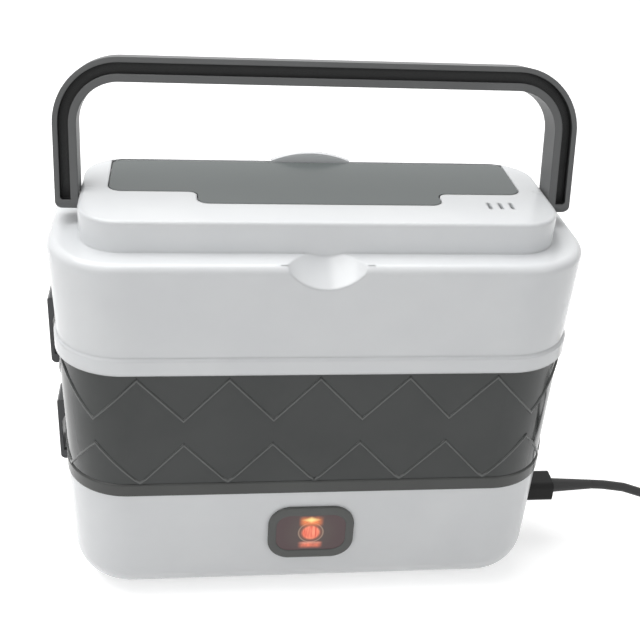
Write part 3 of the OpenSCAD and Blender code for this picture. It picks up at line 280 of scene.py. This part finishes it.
def plastic(name, low, high, rough, ripple, edge=0.0, shine=0.5):
    """Moulded plastic: mottled colour, wandering gloss and a fine ripple."""
    paint, tree, shader, place = new_finish(name)
    shader.inputs["Specular IOR Level"].default_value = shine
    wide = noise(tree, place, MOTTLE_SCALE)
    fine = noise(tree, place, RIPPLE_SCALE, 2.0)
    colour = ramp(tree, wide.outputs["Fac"], low, high)
    tree.links.new(colour.outputs["Color"], shader.inputs["Base Color"])
    gloss = span(tree, wide.outputs["Fac"], rough[0], rough[1])
    tree.links.new(gloss.outputs["Result"], shader.inputs["Roughness"])
    bump(tree, shader, fine.outputs["Fac"], ripple, RIPPLE_DEPTH, edge)
    return paint


def paint_hollow_shade(paint, reach, floor):
    """Paints shade into a finish's colour in grooves narrower than reach, down to floor times its
    colour.
    """
    tree = paint.node_tree
    shader = tree.nodes["Principled BSDF"]
    colour = shader.inputs["Base Color"].links[0].from_socket
    hollow = tree.nodes.new("ShaderNodeAmbientOcclusion")
    hollow.samples = 8
    hollow.only_local = True
    hollow.inputs["Distance"].default_value = reach
    open_part = tree.nodes.new("ShaderNodeMapRange")
    open_part.inputs["From Min"].default_value = HOLLOW_FULL
    open_part.inputs["From Max"].default_value = HOLLOW_NONE
    open_part.inputs["To Min"].default_value = floor
    open_part.inputs["To Max"].default_value = 1.0
    tree.links.new(hollow.outputs["AO"], open_part.inputs["Value"])
    shade = tree.nodes.new("ShaderNodeVectorMath")
    shade.operation = "SCALE"
    tree.links.new(colour, shade.inputs[0])
    tree.links.new(open_part.outputs["Result"], shade.inputs["Scale"])
    tree.links.new(shade.outputs["Vector"], shader.inputs["Base Color"])


def metal(name, low, high, rough, stretch, ripple):
    """Brushed or cast metal: a grain that runs along one axis."""
    paint, tree, shader, place = new_finish(name)
    grain = noise(tree, place, GRAIN_SCALE, 4.0, stretch)
    colour = ramp(tree, grain.outputs["Fac"], low, high)
    tree.links.new(colour.outputs["Color"], shader.inputs["Base Color"])
    gloss = span(tree, grain.outputs["Fac"], rough[0], rough[1])
    tree.links.new(gloss.outputs["Result"], shader.inputs["Roughness"])
    bump(tree, shader, grain.outputs["Fac"], ripple, GRAIN_DEPTH)
    shader.inputs["Metallic"].default_value = 1.0
    return paint


# %% [markdown]
# The colours are written as linear values: first the darkest and the palest shade, then
# the span of the roughness and the strength of the ripple. White shells are a slightly
# cool white, and the cover's edges are softer than the base's. The tier is the darkest
# grey, the matt handle is a good deal paler and has shade painted into its colour inside
# its groove, and the cutlery panel is a mid grey with a touch of green.

# %% Finishes of the moulded parts
WHITE = (0.77, 0.785, 0.80), (0.81, 0.825, 0.835), (0.16, 0.24), 0.10
white_shell = plastic("white_shell", *WHITE, edge=0.4 * MM)
white_cover = plastic("white_cover", *WHITE, edge=1.8 * MM)
dark_tier = plastic("dark_tier", (0.036, 0.040, 0.039), (0.046, 0.050, 0.049),
                    (0.10, 0.18), 0.10, edge=0.5 * MM, shine=0.4)
dark_handle = plastic("dark_handle", (0.135, 0.138, 0.139), (0.155, 0.158, 0.159),
                      (0.42, 0.50), 0.20, edge=0.9 * MM, shine=0.25)
# painted shade: the handle's colour is darkened inside its groove by ambient occlusion
paint_hollow_shade(dark_handle, reach=6 * MM, floor=0.08)
# painted highlight: the beads are the tier's plastic, and this paler colour stands in for the
# light on their tops
rib_painted_highlight = plastic("rib_painted_highlight", (0.090, 0.095, 0.093), (0.105, 0.110, 0.107),
                    (0.16, 0.24), 0.08)
grey_trim = plastic("grey_trim", (0.060, 0.062, 0.060), (0.074, 0.077, 0.074),
                    (0.18, 0.26), 0.15, edge=0.7 * MM, shine=0.4)
bezel_grey = plastic("bezel_grey", (0.074, 0.078, 0.074), (0.090, 0.094, 0.090),
                     (0.16, 0.24), 0.12, edge=1.6 * MM)
grey_panel = plastic("grey_panel", (0.122, 0.138, 0.136), (0.127, 0.143, 0.141),
                     (0.22, 0.26), 0.02, edge=0.6 * MM, shine=0.3)
latch_grey = plastic("latch_grey", (0.050, 0.052, 0.055), (0.062, 0.064, 0.068),
                     (0.22, 0.32), 0.2, edge=0.6 * MM, shine=0.4)
connector_black = plastic("connector_black", (0.008, 0.008, 0.008), (0.013, 0.013, 0.013),
                          (0.40, 0.55), 0.4, edge=0.6 * MM, shine=0.2)
cord_black = plastic("cord_black", (0.008, 0.008, 0.008), (0.014, 0.014, 0.014), (0.4, 0.55), 0.5)
rubber_dark = plastic("rubber_dark", (0.02, 0.02, 0.02), (0.03, 0.03, 0.03), (0.6, 0.8), 0.8)
food_lid = plastic("food_lid", (0.52, 0.54, 0.53), (0.58, 0.6, 0.59), (0.25, 0.35), 0.15)
ceramic = plastic("ceramic", (0.66, 0.6, 0.48), (0.74, 0.68, 0.56), (0.5, 0.7), 0.6)
laminate = plastic("laminate", (0.33, 0.22, 0.09), (0.4, 0.28, 0.12), (0.45, 0.6), 0.3)
lead_red = plastic("lead_red", (0.28, 0.02, 0.015), (0.34, 0.03, 0.02), (0.35, 0.5), 0.2)
lead_white = plastic("lead_white", (0.68, 0.68, 0.67), (0.75, 0.75, 0.74), (0.35, 0.5), 0.2)
steel = metal("steel", (0.55, 0.55, 0.55), (0.66, 0.66, 0.65), (0.2, 0.34), (1, 1, 12), 0.15)
pin_steel = metal("pin_steel", (0.6, 0.6, 0.6), (0.7, 0.7, 0.7), (0.12, 0.2), (1, 1, 1), 0.05)
cast_alloy = metal("cast_alloy", (0.5, 0.5, 0.51), (0.62, 0.62, 0.63), (0.35, 0.5), (1, 1, 1), 0.5)
brass = metal("brass", (0.7, 0.48, 0.2), (0.8, 0.58, 0.27), (0.2, 0.35), (1, 1, 1), 0.1)


def silicone_finish(name):
    """Milky silicone rubber: soft, a little light passes under its skin."""
    paint, tree, shader, place = new_finish(name)
    cloud = noise(tree, place, 60)
    colour = ramp(tree, cloud.outputs["Fac"], (0.62, 0.62, 0.6), (0.7, 0.7, 0.68))
    tree.links.new(colour.outputs["Color"], shader.inputs["Base Color"])
    gloss = span(tree, cloud.outputs["Fac"], 0.4, 0.55)
    tree.links.new(gloss.outputs["Result"], shader.inputs["Roughness"])
    shader.inputs["Subsurface Weight"].default_value = 0.2
    shader.inputs["Subsurface Radius"].default_value = (2 * MM, 2 * MM, 2 * MM)
    return paint


silicone = silicone_finish("silicone")
print("finishes so far:", len(bpy.data.materials))

# %% [markdown]
# The indicator is a smoked window with a round lamp behind it. The lamp glows orange with
# darker streaks, and the window picks up a dull red from it. All of this is painted light
# in the window's emission colour: the lamp's disc, the dull red glow, a thin lit ring round
# the lamp, and bands of light above and below it where its glow runs along the plastic,
# with a painted highlight spot in the upper one.

# %% Finishes of the indicator
LAMP_Z = 41.2 * MM
DISC_EDGE = 3.6 * MM, 4.9 * MM
LIT_RING_R = 6.0 * MM
HIGHLIGHT_SPOT_UP = 8 * MM
LIGHT_BANDS = [(7.0 * MM, 4.0 * MM, 1.0, (0.98, 0.25, 0.07)),
         (-7.8 * MM, 2.8 * MM, 1.0, (0.88, 0.20, 0.11)),
         (-6.6 * MM, 1.0 * MM, 0.7, (0.80, 0.36, 0.26))]
MIX_A, MIX_B, MIX_RESULT = 6, 7, 2


def number(tree, operation, a, b=None):
    """One sum on two numbers, each a socket or a plain value."""
    node = tree.nodes.new("ShaderNodeMath")
    node.operation = operation
    for slot, value in enumerate((a, b)):
        if value is None:
            continue
        if isinstance(value, (int, float)):
            node.inputs[slot].default_value = value
        else:
            tree.links.new(value, node.inputs[slot])
    return node.outputs[0]


def fade(tree, value, full, none):
    """1 where value is below full, falling smoothly to 0 at none."""
    node = tree.nodes.new("ShaderNodeMapRange")
    node.interpolation_type = "SMOOTHSTEP"
    node.inputs["From Min"].default_value = full
    node.inputs["From Max"].default_value = none
    node.inputs["To Min"].default_value = 1.0
    node.inputs["To Max"].default_value = 0.0
    tree.links.new(value, node.inputs["Value"])
    return node.outputs["Result"]


def add_light(tree, base, mask, colour):
    """Lays a glow, one colour or a socket that gives it, over another by its mask."""
    node = tree.nodes.new("ShaderNodeMix")
    node.data_type = "RGBA"
    tree.links.new(mask, node.inputs["Factor"])
    tree.links.new(base, node.inputs[MIX_A])
    if isinstance(colour, tuple):
        node.inputs[MIX_B].default_value = (*colour, 1)
    else:
        tree.links.new(colour, node.inputs[MIX_B])
    return node.outputs[MIX_RESULT]


def distance_to(tree, value, mark):
    """How far a value is from a mark, on either side."""
    return number(tree, "ABSOLUTE", number(tree, "SUBTRACT", value, mark))


def painted_lens_glow_finish(name):
    """Smoked plastic with painted light in its emission: the lamp's disc, a glow, its lit ring,
    three bands and a spot.
    """
    paint, tree, shader, place = new_finish(name)
    split = tree.nodes.new("ShaderNodeSeparateXYZ")
    tree.links.new(place.outputs["Object"], split.inputs[0])
    across = split.outputs["X"]
    above = number(tree, "SUBTRACT", split.outputs["Z"], LAMP_Z)
    reach = number(tree, "SQRT", number(tree, "ADD", number(tree, "POWER", across, 2),
                                        number(tree, "POWER", above, 2)))
    aside = number(tree, "ABSOLUTE", across)
    blotch = noise(tree, place, 420, 2.0)
    streak = noise(tree, place, 300, 2.0, (6, 1, 0.4))

    # painted light from here on, all in the emission colour: a dull red glow over the whole
    # window, a glow round the lamp, its lit ring and the bands
    body = ramp(tree, fade(tree, reach, 5 * MM, 16 * MM), (0.062, 0.036, 0.038),
                (0.072, 0.052, 0.048), 0.0, 1.0).outputs["Color"]
    halo = number(tree, "MULTIPLY", fade(tree, reach, 3 * MM, 7 * MM), 0.35)
    glow = add_light(tree, body, halo, (0.75, 0.20, 0.09))
    ring = fade(tree, distance_to(tree, reach, LIT_RING_R), 0.15 * MM, 0.5 * MM)
    glow = add_light(tree, glow, number(tree, "MULTIPLY", ring, 0.55), (0.42, 0.30, 0.22))
    band_side = fade(tree, aside, 3.0 * MM, 6.6 * MM)
    rough_edge = span(tree, blotch.outputs["Fac"], 0.55, 1.0).outputs["Result"]
    for height, half, strength, colour in LIGHT_BANDS:
        off = distance_to(tree, above, height)
        mask = number(tree, "MULTIPLY", band_side, fade(tree, off, 0.15 * half, half))
        mask = number(tree, "MULTIPLY", number(tree, "MULTIPLY", mask, rough_edge), strength)
        glow = add_light(tree, glow, mask, colour)
    # painted highlight: a bright spot in the upper band
    spot_off = number(tree, "ADD", distance_to(tree, above, HIGHLIGHT_SPOT_UP),
                      number(tree, "MULTIPLY", aside, 0.45))
    glow = add_light(tree, glow, fade(tree, spot_off, 0.2 * MM, 2.6 * MM), (1.0, 0.80, 0.30))
    # painted glow: the lit lamp's streaked disc, painted on the window
    disc = ramp(tree, streak.outputs["Fac"], (0.78, 0.11, 0.06), (1.0, 0.32, 0.19), 0.35, 0.62)
    glow = add_light(tree, glow, fade(tree, reach, *DISC_EDGE), disc.outputs["Color"])
    tree.links.new(glow, shader.inputs["Emission Color"])
    shader.inputs["Emission Strength"].default_value = 1.0
    shader.inputs["Base Color"].default_value = (0.02, 0.018, 0.018, 1)
    shader.inputs["Specular IOR Level"].default_value = 0.4
    gloss = span(tree, blotch.outputs["Fac"], 0.06, 0.12)
    tree.links.new(gloss.outputs["Result"], shader.inputs["Roughness"])
    return paint


def lamp_finish(name):
    """The lit lamp itself."""
    paint, tree, shader, place = new_finish(name)
    cloud = noise(tree, place, 400)
    colour = ramp(tree, cloud.outputs["Fac"], (1.0, 0.3, 0.08), (1.0, 0.42, 0.15))
    tree.links.new(colour.outputs["Color"], shader.inputs["Emission Color"])
    tree.links.new(colour.outputs["Color"], shader.inputs["Base Color"])
    shader.inputs["Emission Strength"].default_value = 1.0
    shader.inputs["Roughness"].default_value = 0.3
    return paint


smoked_lens = painted_lens_glow_finish("smoked_lens")
lamp_glow = lamp_finish("lamp_glow")
print("finishes:", len(bpy.data.materials))

# %% [markdown]
# Each finish is now given to the solids that are made of it. One table holds the whole
# choice, and a line after it names any solid that was forgotten.

# %% Which finish each solid takes
FINISH_OF = {
    white_shell: ["base_shell", "bottom_cover"],
    white_cover: ["cover_shell"],
    dark_tier: ["tier_shell"],
    dark_handle: ["handle"],
    grey_trim: ["base_trim", "lamp_ring"],
    bezel_grey: ["indicator_bezel"],
    grey_panel: ["cutlery_lid"],
    latch_grey: ["lower_latch_left", "lower_latch_right", "upper_latch_left",
                 "upper_latch_right"],
    smoked_lens: ["indicator_lens"],
    lamp_glow: ["neon_lamp"],
    rubber_dark: ["rubber_feet"],
    silicone: ["pan_seal", "lower_lid_seal", "lower_lid_valve", "tier_seal", "upper_lid_seal",
               "upper_lid_valve", "cover_seal"],
    steel: ["lower_container", "upper_container", "spoon", "fork", "element_clamp"],
    pin_steel: ["bottom_screws", "clamp_screws", "lower_latch_pins", "upper_latch_pins",
                "handle_pivots", "cutlery_hinge_pins"],
    cast_alloy: ["heating_pan", "heater_plate"],
    food_lid: ["lower_lid", "upper_lid"],
    ceramic: ["heating_element", "thermal_fuse"],
    laminate: ["lamp_board"],
    lead_red: ["supply_leads"],
    lead_white: ["lamp_leads"],
    brass: ["inlet_pins", "plug_blades"],
    connector_black: ["inlet_socket", "cord_connector", "mains_plug", "thermostat"],
    cord_black: ["cord_boot", "cord_lead", "cord_coil", "cord_tail"],
}


def paint_solid(solid, paint):
    """Puts one finish on every material slot of a solid."""
    if not solid.data.materials:
        solid.data.materials.append(paint)
    for i in range(len(solid.data.materials)):
        solid.data.materials[i] = paint


for paint, names in FINISH_OF.items():
    for name in names:
        paint_solid(nodes[name], paint)
unpainted = set(nodes) - {name for names in FINISH_OF.values() for name in names}
print("solids without a finish:", sorted(unpainted))

# %% [markdown]
# ## Raised zigzags on the tier
# On the real tier each zigzag is a thin rounded bead of the same plastic, and its top
# catches the light as a fine pale line; here the beads get a paler colour than the tier,
# a painted highlight for that line. The solid model has square ribs there. A curve with a
# round section could lie on them, but it would bulge as far inwards as outwards, so a
# half-oval section is carried along the wall instead: at each step it is set square
# to the wall, and at a peak it is widened so that both strokes keep their width.

# %% Where the zigzags run
TIER_LOW_Z = 72.5 * MM
TIER_HIGH_Z = 133.5 * MM
TIER_LOW_INSET = 3.0 * MM
TIER_TOP_INSET = 1.8 * MM
RIB_TEETH = 15
RIB_RISE = 22.3 * MM
UPPER_PEAK_Z = TIER_HIGH_Z - 3.1 * MM
LOWER_PEAK_Z = TIER_LOW_Z - 0.1 * MM + RIB_RISE
RIB_FLOOR_Z = TIER_LOW_Z + 0.9 * MM
STROKE_STEPS = 8
BEND_R = CORNER_R - (TIER_LOW_INSET + TIER_TOP_INSET) / 2
BEND = math.pi / 2 * BEND_R
HALF_ROUND = 2 * CORE_X + 2 * CORE_Y + 2 * BEND


def wall_place(along):
    """The core point and the outward direction at a distance along half the tier's outline."""
    if along < CORE_X:
        return Vector((along, -CORE_Y, 0)), Vector((0, -1, 0))
    along -= CORE_X
    if along < BEND:
        turn = -math.pi / 2 + along / BEND_R
        return Vector((CORE_X, -CORE_Y, 0)), Vector((math.cos(turn), math.sin(turn), 0))
    along -= BEND
    if along < 2 * CORE_Y:
        return Vector((CORE_X, along - CORE_Y, 0)), Vector((1, 0, 0))
    along -= 2 * CORE_Y
    if along < BEND:
        turn = along / BEND_R
        return Vector((CORE_X, CORE_Y, 0)), Vector((math.cos(turn), math.sin(turn), 0))
    return Vector((CORE_X - (along - BEND), CORE_Y, 0)), Vector((0, 1, 0))


def tier_radius(z):
    """The tier's corner radius at a height: its wall leans out a little towards its top."""
    share = (z - TIER_LOW_Z) / (TIER_HIGH_Z - TIER_LOW_Z)
    return CORNER_R - TIER_LOW_INSET + (TIER_LOW_INSET - TIER_TOP_INSET) * share


def zigzag_path(even_z, odd_z):
    """Places and outward directions along one row, from the front's middle to the back's."""
    pitch = HALF_ROUND / RIB_TEETH
    path = []
    for tooth in range(RIB_TEETH):
        z0, z1 = (even_z, odd_z) if tooth % 2 == 0 else (odd_z, even_z)
        ends = [core + out * BEND_R for core, out in (wall_place(tooth * pitch),
                                                      wall_place((tooth + 1) * pitch))]
        chord = ends[1] - ends[0]
        for step in range(STROKE_STEPS + (tooth == RIB_TEETH - 1)):
            core, out = wall_place((tooth + step / STROKE_STEPS) * pitch)
            share = (core + out * BEND_R - ends[0]).dot(chord) / chord.length_squared
            z = max(z0 + (z1 - z0) * share, RIB_FLOOR_Z)
            place = core + out * tier_radius(z)
            path.append((Vector((place.x, place.y, z)), out))
    return path


upper_row = zigzag_path(UPPER_PEAK_Z, UPPER_PEAK_Z - RIB_RISE)
lower_row = zigzag_path(LOWER_PEAK_Z - RIB_RISE, LOWER_PEAK_Z)
print("places on each row:", len(upper_row), len(lower_row))

# %% [markdown]
# The upper latches turn on the tier's two ends, so the upper row stops short of them
# there. The lower row passes under a latch as well, and is cut over its whole height.

# %% Leave the latches free
LATCH_ROOM = 9 * MM
UPPER_LATCH_LOW = 114.0 * MM


def free_runs(path, low_z):
    """Cuts a row where it would pass behind a latch, above low_z on the tier's ends."""
    runs, run = [], []
    for place, out in path:
        if abs(place.y) < LATCH_ROOM and place.x > CORE_X and place.z > low_z:
            if len(run) > 2:
                runs.append(run)
            run = []
        else:
            run.append((place, out))
    return runs + [run]


runs = free_runs(upper_row, UPPER_LATCH_LOW) + free_runs(lower_row, 0)
print("runs on one half:", len(runs))

# %% [markdown]
# Each run now gets its own closed bead. Every ring of the bead is the same half oval,
# sunk a little into the wall so that no slit shows, and the other half of the outline is
# the same run mirrored across the box's middle.

# %% Carry a half oval along each run
BEAD_HALF_W = 0.72 * MM
BEAD_H = 0.60 * MM
BEAD_SINK = 0.25 * MM
OVAL_ANGLES = [math.radians(a) for a in (0, 25, 50, 75, 105, 130, 155, 180)]
OVAL = [(math.cos(a), BEAD_H * math.sin(a)) for a in OVAL_ANGLES]
OVAL = [(1.0, -BEAD_SINK)] + OVAL + [(-1.0, -BEAD_SINK)]
SHARPEST_TURN = 0.5


def add_bead(mesh, run):
    """One closed bead along a run of wall places."""
    rings = []
    for i, (place, out) in enumerate(run):
        before = (place - run[i - 1][0]).normalized() if i else None
        after = (run[i + 1][0] - place).normalized() if i < len(run) - 1 else None
        way = (before or after) + (after or before)
        way.normalize()
        side = out.cross(way).normalized()
        widen = 1 / max(SHARPEST_TURN, way.dot(after or before))
        rings.append([mesh.verts.new(place + side * (BEAD_HALF_W * widen * across) + out * height)
                      for across, height in OVAL])
    for ring, following in zip(rings, rings[1:]):
        for i in range(len(OVAL)):
            j = (i + 1) % len(OVAL)
            mesh.faces.new((ring[i], following[i], following[j], ring[j]))
    mesh.faces.new(rings[0])
    mesh.faces.new(list(reversed(rings[-1])))


bead_mesh = bmesh.new()
for run in runs:
    add_bead(bead_mesh, run)
    add_bead(bead_mesh, [(Vector((-p.x, p.y, p.z)), Vector((-n.x, n.y, n.z))) for p, n in run])
bmesh.ops.recalc_face_normals(bead_mesh, faces=bead_mesh.faces)
bead_data = bpy.data.meshes.new("tier_zigzag_beads")
bead_mesh.to_mesh(bead_data)
bead_mesh.free()
beads = bpy.data.objects.new("tier_zigzag_beads", bead_data)
bpy.context.scene.collection.objects.link(beads)
for face in bead_data.polygons:
    face.use_smooth = True
# the beads' paler colour is a painted highlight
bead_data.materials.append(rib_painted_highlight)
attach(beads, "tier")
print("bead faces:", len(bead_data.polygons))

# %% [markdown]
# ## Cord
# The mains cord leaves its strain relief straight, falls to the table in one bend and
# runs to a neat coil, where the rest of its length is put away. It is a curve with a
# round section: the coil's turns are worked out by a loop, first inwards in a flat
# spiral, then one layer up and outwards again.

# %% The cord's route
BOOT_END = Vector((161.2, 0, 28.5)) * MM
LEAD = [(168, 0, 28), (180, -0.4, 26.2), (192, -1.6, 22.5), (203, -3.6, 17), (213, -6, 11),
        (222, -8.2, 6.2), (231, -9.6, 3.6), (240, -10.2, 2.8), (246, -10.4, 2.7)]
TAIL = [(292, 32, 6.4), (294, 40, 4), (295.5, 48, 2.9), (296, 54, 2.9), (296, 58, 3.8),
        (296, 62, 5.5)]
COIL_AT = Vector((258, 22, 0)) * MM
OUTER_R = 32.5 * MM
INNER_R = 22.5 * MM
LOW_Z = 2.75 * MM
HIGH_Z = 7.75 * MM
TURN_STEPS = 24
FLAT_STEPS = 2 * TURN_STEPS
CLIMB_STEPS = TURN_STEPS * 3 // 4
OUT_STEPS = FLAT_STEPS + TURN_STEPS // 2 - 1


def coil_points():
    """The coil's centre line: two turns in, a climb, and two and a half out on top."""
    points = []
    for step in range(FLAT_STEPS + 1):
        r = OUTER_R + (INNER_R - OUTER_R) * step / FLAT_STEPS
        points.append((step, r, LOW_Z))
    for step in range(1, CLIMB_STEPS + 1):
        ease = step / CLIMB_STEPS
        ease = ease * ease * (3 - 2 * ease)
        points.append((FLAT_STEPS + step, INNER_R, LOW_Z + (HIGH_Z - LOW_Z) * ease))
    for step in range(1, OUT_STEPS + 1):
        r = INNER_R + (OUTER_R - INNER_R) * min(1, step / FLAT_STEPS)
        points.append((FLAT_STEPS + CLIMB_STEPS + step, r, HIGH_Z))
    line = []
    for step, r, z in points:
        angle = -math.pi / 2 + 2 * math.pi * step / TURN_STEPS
        line.append(COIL_AT + Vector((r * math.cos(angle), r * math.sin(angle), z)))
    return line


lead_points = [Vector(p) * MM for p in LEAD]
tail_points = [Vector(p) * MM for p in TAIL]
route = [BOOT_END] + lead_points + coil_points() + tail_points

# %% [markdown]
# The route becomes one curve with a round section. It rides with the base, and it stands
# for the three plain cord solids of the frame.

# %% The cord as a curve
cord_curve = bpy.data.curves.new("mains_cord", "CURVE")
cord_curve.dimensions = "3D"
cord_curve.bevel_depth = CORD_D / 2
cord_curve.bevel_resolution = 4
cord_curve.resolution_u = 3
spline = cord_curve.splines.new("POLY")
spline.points.add(len(route) - 1)
for point, place in zip(spline.points, route):
    point.co = (*place, 1)
spline.use_smooth = True
cord_curve.materials.append(cord_black)
cord = bpy.data.objects.new("mains_cord", cord_curve)
bpy.context.scene.collection.objects.link(cord)
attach(cord, "base")
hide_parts("cord_lead", "cord_coil", "cord_tail")
print("cord radius mm:", cord_curve.bevel_depth / MM)
